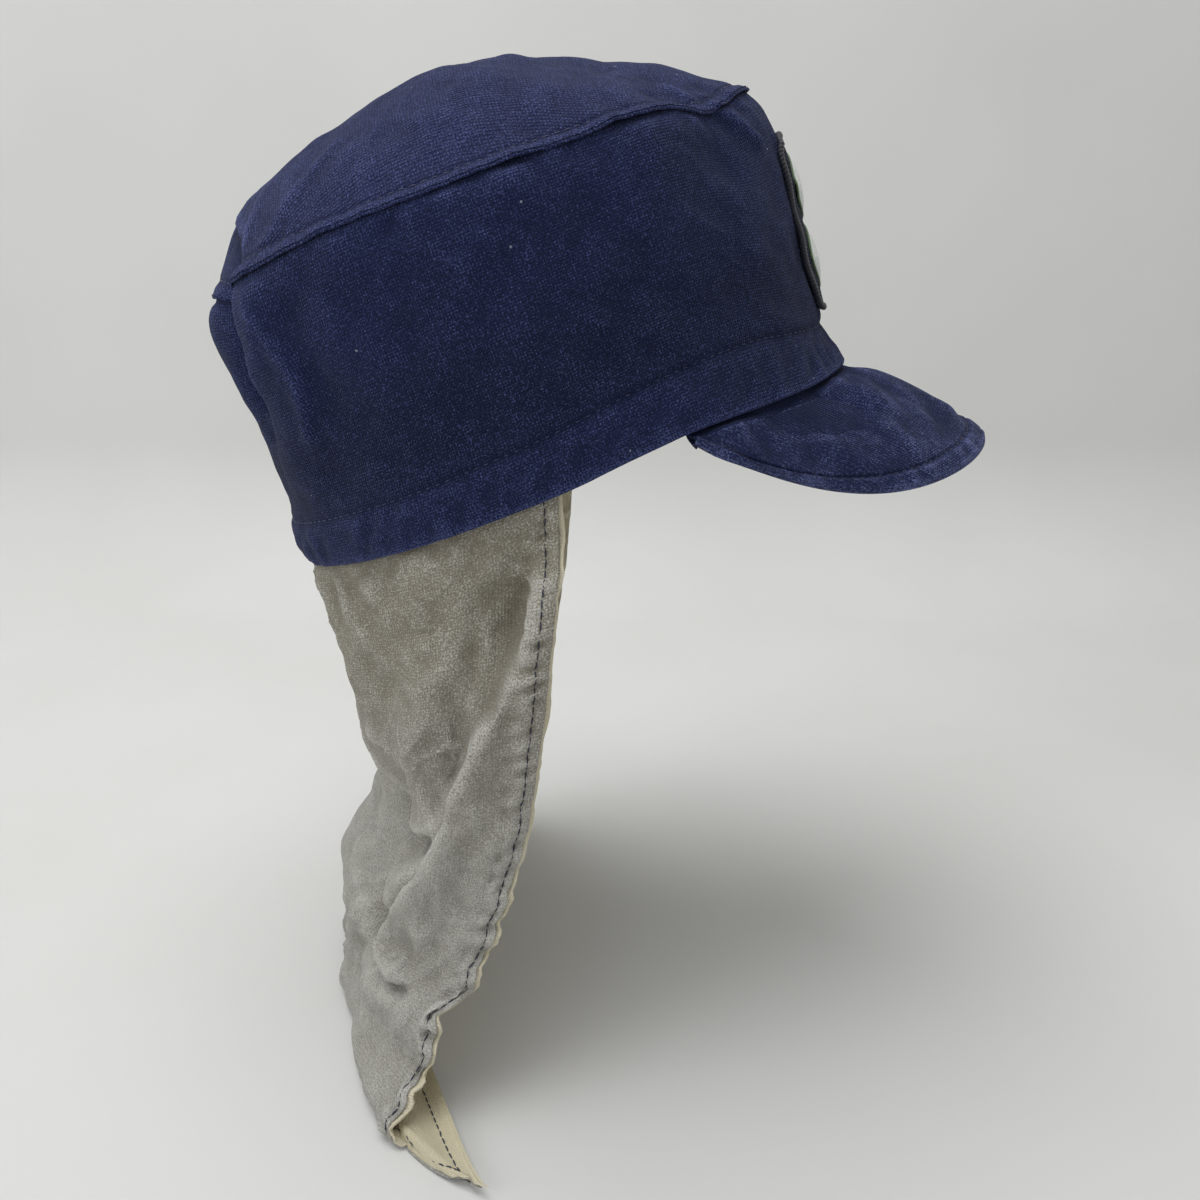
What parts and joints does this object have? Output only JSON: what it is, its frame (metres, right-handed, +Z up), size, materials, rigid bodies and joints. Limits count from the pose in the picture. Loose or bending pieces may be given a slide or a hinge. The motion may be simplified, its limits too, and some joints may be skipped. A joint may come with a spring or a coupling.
{
  "type": "neck flap sun hat",
  "caption": "Soft canvas cap with a short peak, a cloth badge and a long lined neck flap, in the form it has when worn.",
  "frame": {"origin": "middle of the headband opening, where the hat sits on a head", "axes": "+Z up and the hat's longest extent, -Y towards the peak, -X the wearer's right; X is the width"},
  "size_m": [0.2342, 0.261, 0.3252],
  "materials": {
    "navy_canvas": "matt cotton canvas",
    "faded_canvas": "matt cotton canvas, faded",
    "badge_cloth": "matt twill",
    "badge_thread": "satin embroidery",
    "grey_cotton": "brushed cotton, faded",
    "cream_lining": "matt plain cotton"
  },
  "bodies": {
    "root": {"crown_side": "navy_canvas", "crown_tip": "faded_canvas", "peak": "navy_canvas", "badge_patch": "badge_cloth", "badge_lozenge_upper": "badge_thread", "badge_lozenge_lower": "badge_thread", "neck_flap": "grey_cotton", "flap_lining": "cream_lining"}
  },
  "joints": []
}
